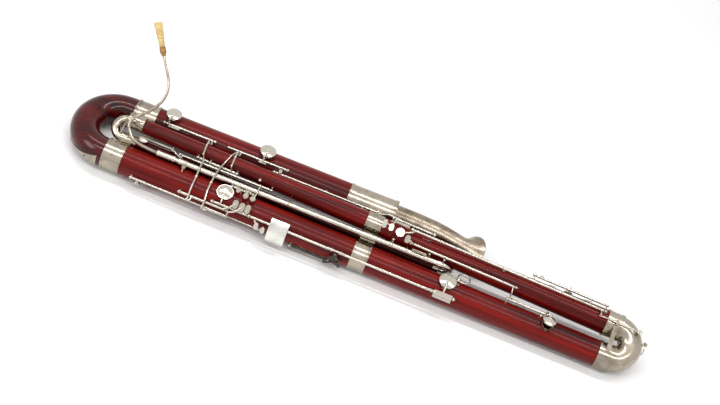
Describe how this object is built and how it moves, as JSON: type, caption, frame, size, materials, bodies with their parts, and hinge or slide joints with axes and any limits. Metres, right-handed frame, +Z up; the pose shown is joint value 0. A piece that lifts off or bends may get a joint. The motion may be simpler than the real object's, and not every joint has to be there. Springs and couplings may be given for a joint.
{
  "type": "contrabassoon",
  "caption": "Long folded wooden double-reed bass wind instrument with sprung keys, metal bows and bell, tuning slide, crook and reed.",
  "frame": {"origin": "on the floor plane below the middle of the instrument's bounding box", "axes": "+X along the bass joint from the wooden bow toward the metal bottom bow, +Y from the third joint toward the bass joint, +Z up with the keys on top"},
  "size_m": [1.2616, 0.26, 0.2355],
  "materials": {
    "stained_wood": "gloss lacquer, deep red stain",
    "fittings_metal": "plated nickel silver, polished",
    "key_metal": "plated nickel silver, polished",
    "plate_metal": "plated, satin",
    "steel": "blued steel",
    "dark_metal": "darkened",
    "brass_stay": "worn plating over brass",
    "pad_leather": "matte",
    "reed_cane": "satin",
    "reed_thread": "waxed thread"
  },
  "bodies": {
    "instrument": {"bass_joint": "stained_wood", "third_joint": "stained_wood", "second_joint": "stained_wood", "first_joint": "stained_wood", "large_bow": "stained_wood", "bow_guard": "fittings_metal", "body_screws": "steel", "bass_top_ferrule": "fittings_metal", "third_top_ferrule": "fittings_metal", "small_bow": "fittings_metal", "bow_brace": "fittings_metal", "bottom_bow": "fittings_metal", "bottom_brace": "fittings_metal", "bell_socket": "fittings_metal", "bell": "fittings_metal", "middle_bands": "fittings_metal", "tube_bridge": "brass_stay", "slide_tube": "fittings_metal", "slide_supports": "fittings_metal", "hand_rest": "plate_metal", "strap_eye": "key_metal", "bass_posts": "key_metal", "third_posts": "key_metal", "narrow_joint_posts": "key_metal", "hinge_rods": "steel", "tone_rims": "fittings_metal", "key_springs": "steel"},
    "tuning_slide": {"slide_inner": "fittings_metal", "bocal": "fittings_metal", "reed_blades": "reed_cane", "reed_binding": "reed_thread"},
    "strap_loop": {"strap_ring": "key_metal"},
    "bass_upper": {"bass_key_upper": "key_metal", "bass_pad_upper": "pad_leather"},
    "bass_lower": {"bass_key_lower": "key_metal", "bass_pad_lower": "pad_leather"},
    "bass_link": {"bass_link_key": "key_metal"},
    "octave_cup": {"octave_lever": "key_metal", "octave_pad": "pad_leather"},
    "octave_rod": {"octave_rod_key": "key_metal"},
    "rocker_a": {"rocker_upper": "key_metal"},
    "rocker_b": {"rocker_lower": "key_metal"},
    "thumb_a": {"thumb_lever_upper": "key_metal"},
    "thumb_b": {"thumb_lever_lower": "key_metal"},
    "edge": {"edge_key": "key_metal"},
    "third_cup": {"third_key": "key_metal", "third_pad": "pad_leather"},
    "touch_inner": {"thumb_touch_inner": "key_metal"},
    "touch_outer": {"thumb_touch_outer": "key_metal"},
    "long_cup": {"long_key": "key_metal", "long_pad": "pad_leather"},
    "flank": {"flank_key": "dark_metal"},
    "right_thumb": {"right_thumb_key": "key_metal"},
    "low_rod": {"second_low_key": "key_metal"},
    "low_cup": {"low_cup_key": "key_metal", "low_pad": "pad_leather"},
    "water_rod": {"water_rod_key": "key_metal"},
    "water_lever": {"water_key": "key_metal"},
    "far_cup": {"far_key": "key_metal"},
    "foot_loop": {"bottom_ring": "key_metal"}
  },
  "joints": [
    {"name": "slide_draw", "type": "slide", "parent": "instrument", "child": "tuning_slide", "axis": [-1, 0, 0], "range_m": [0, 0.025]},
    {"name": "strap_ring_swing", "type": "hinge", "parent": "instrument", "child": "strap_loop", "pos_m": [0.22822, -0.0767, 0.06767], "axis": [-0.7577, 0.6394, -0.131], "range_deg": [-90, 12]},
    {"name": "bass_upper_turn", "type": "hinge", "parent": "instrument", "child": "bass_upper", "pos_m": [-0.4, 0.03549, 0.06322], "axis": [1, 0, 0], "range_deg": [0, 9], "stiffness_Nm_per_rad": 0.05},
    {"name": "bass_lower_turn", "type": "hinge", "parent": "instrument", "child": "bass_lower", "pos_m": [-0.24, 0.03549, 0.06322], "axis": [1, 0, 0], "range_deg": [0, 7.7], "stiffness_Nm_per_rad": 0.05},
    {"name": "bass_link_turn", "type": "hinge", "parent": "instrument", "child": "bass_link", "pos_m": [-0.08, 0.0261, 0.05495], "axis": [1, 0, 0], "range_deg": [-9, 0], "stiffness_Nm_per_rad": 0.05},
    {"name": "octave_cup_turn", "type": "hinge", "parent": "instrument", "child": "octave_cup", "pos_m": [-0.407, -0.034, 0.0685], "axis": [0, 1, 0], "range_deg": [0, 2.4], "stiffness_Nm_per_rad": 0.05},
    {"name": "octave_rod_turn", "type": "hinge", "parent": "instrument", "child": "octave_rod", "pos_m": [-0.29, -0.03461, 0.06549], "axis": [1, 0, 0], "range_deg": [0, 6], "stiffness_Nm_per_rad": 0.05},
    {"name": "rocker_upper_turn", "type": "hinge", "parent": "instrument", "child": "rocker_a", "pos_m": [-0.34046, -0.02667, 0.06826], "axis": [0.9996, -0.0274, -0.0085], "range_deg": [-1.7, 0], "stiffness_Nm_per_rad": 0.2},
    {"name": "rocker_lower_turn", "type": "hinge", "parent": "instrument", "child": "rocker_b", "pos_m": [-0.29748, -0.02785, 0.0679], "axis": [0.9996, -0.0274, -0.0085], "range_deg": [-1.46, 0], "stiffness_Nm_per_rad": 0.2},
    {"name": "thumb_upper_turn", "type": "hinge", "parent": "instrument", "child": "thumb_a", "pos_m": [-0.30738, -0.11047, 0.04575], "axis": [0.9999, -0.014, -0.0035], "range_deg": [-14, 0], "stiffness_Nm_per_rad": 0.05},
    {"name": "thumb_lower_turn", "type": "hinge", "parent": "instrument", "child": "thumb_b", "pos_m": [-0.28046, -0.11279, 0.03188], "axis": [0.9999, -0.014, -0.0035], "range_deg": [-12, 0], "stiffness_Nm_per_rad": 0.05},
    {"name": "edge_turn", "type": "hinge", "parent": "instrument", "child": "edge", "pos_m": [-0.32046, -0.11223, 0.03202], "axis": [0.9999, -0.014, -0.0035], "range_deg": [-10, 0], "stiffness_Nm_per_rad": 0.05},
    {"name": "third_cup_turn", "type": "hinge", "parent": "instrument", "child": "third_cup", "pos_m": [-0.25032, -0.10751, 0.05205], "axis": [0.9999, -0.014, -0.0035], "range_deg": [0, 9], "stiffness_Nm_per_rad": 0.05},
    {"name": "touch_inner_turn", "type": "hinge", "parent": "instrument", "child": "touch_inner", "pos_m": [-0.23166, -0.0644, 0.06602], "axis": [0.9999, -0.014, -0.0035], "range_deg": [0, 8], "stiffness_Nm_per_rad": 0.05},
    {"name": "touch_outer_turn", "type": "hinge", "parent": "instrument", "child": "touch_outer", "pos_m": [-0.25466, -0.06408, 0.0661], "axis": [0.9999, -0.014, -0.0035], "range_deg": [0, 8], "stiffness_Nm_per_rad": 0.05},
    {"name": "long_cup_turn", "type": "hinge", "parent": "instrument", "child": "long_cup", "pos_m": [-0.00034, -0.111, 0.05118], "axis": [0.9999, -0.014, -0.0035], "range_deg": [0, 9], "stiffness_Nm_per_rad": 0.05},
    {"name": "flank_turn", "type": "hinge", "parent": "instrument", "child": "flank", "pos_m": [-0.07047, -0.11088, 0.01699], "axis": [0.9999, -0.014, -0.0035], "range_deg": [0, 10], "stiffness_Nm_per_rad": 0.05},
    {"name": "right_thumb_turn", "type": "hinge", "parent": "instrument", "child": "right_thumb", "pos_m": [0.10054, -0.00319, 0.08839], "axis": [0.9996, -0.0274, -0.0085], "range_deg": [0, 4.5], "stiffness_Nm_per_rad": 0.05},
    {"name": "low_rod_turn", "type": "hinge", "parent": "instrument", "child": "low_rod", "pos_m": [0.22539, -0.0438, 0.07828], "axis": [0.9996, -0.0274, -0.0085], "range_deg": [-7.6, 0], "stiffness_Nm_per_rad": 0.05},
    {"name": "low_cup_turn", "type": "hinge", "parent": "instrument", "child": "low_cup", "pos_m": [0.3803, -0.07046, 0.06165], "axis": [0.9999, -0.014, -0.0035], "range_deg": [0, 20.6], "stiffness_Nm_per_rad": 0.05},
    {"name": "water_rod_turn", "type": "hinge", "parent": "instrument", "child": "water_rod", "pos_m": [0.3161, -0.02335, 0.09118], "axis": [0.9996, -0.0274, -0.0085], "range_deg": [0, 5], "stiffness_Nm_per_rad": 0.05},
    {"name": "water_lever_turn", "type": "hinge", "parent": "instrument", "child": "water_lever", "pos_m": [0.55559, -0.04459, 0.08823], "axis": [0.0282, 0.8825, 0.4695], "range_deg": [-2, 0], "stiffness_Nm_per_rad": 0.05},
    {"name": "far_cup_turn", "type": "hinge", "parent": "instrument", "child": "far_cup", "pos_m": [0.45063, -0.00334, 0.08219], "axis": [0.9996, -0.0274, -0.0085], "range_deg": [0, 9], "stiffness_Nm_per_rad": 0.05},
    {"name": "foot_ring_swing", "type": "hinge", "parent": "instrument", "child": "foot_loop", "pos_m": [0.6293, -0.047, 0.059], "axis": [0, 1, 0], "range_deg": [-25, 0]}
  ],
  "couplings": [
    {"joint": "rocker_upper_turn", "follows": "thumb_upper_turn", "ratio": 0.12},
    {"joint": "bass_upper_turn", "follows": "thumb_upper_turn", "ratio": -0.63},
    {"joint": "rocker_lower_turn", "follows": "thumb_lower_turn", "ratio": 0.12},
    {"joint": "bass_lower_turn", "follows": "thumb_lower_turn", "ratio": -0.63},
    {"joint": "octave_cup_turn", "follows": "octave_rod_turn", "ratio": 0.36},
    {"joint": "bass_link_turn", "follows": "right_thumb_turn", "ratio": -1.9},
    {"joint": "low_cup_turn", "follows": "low_rod_turn", "ratio": -2.7},
    {"joint": "water_lever_turn", "follows": "water_rod_turn", "ratio": -0.38}
  ]
}
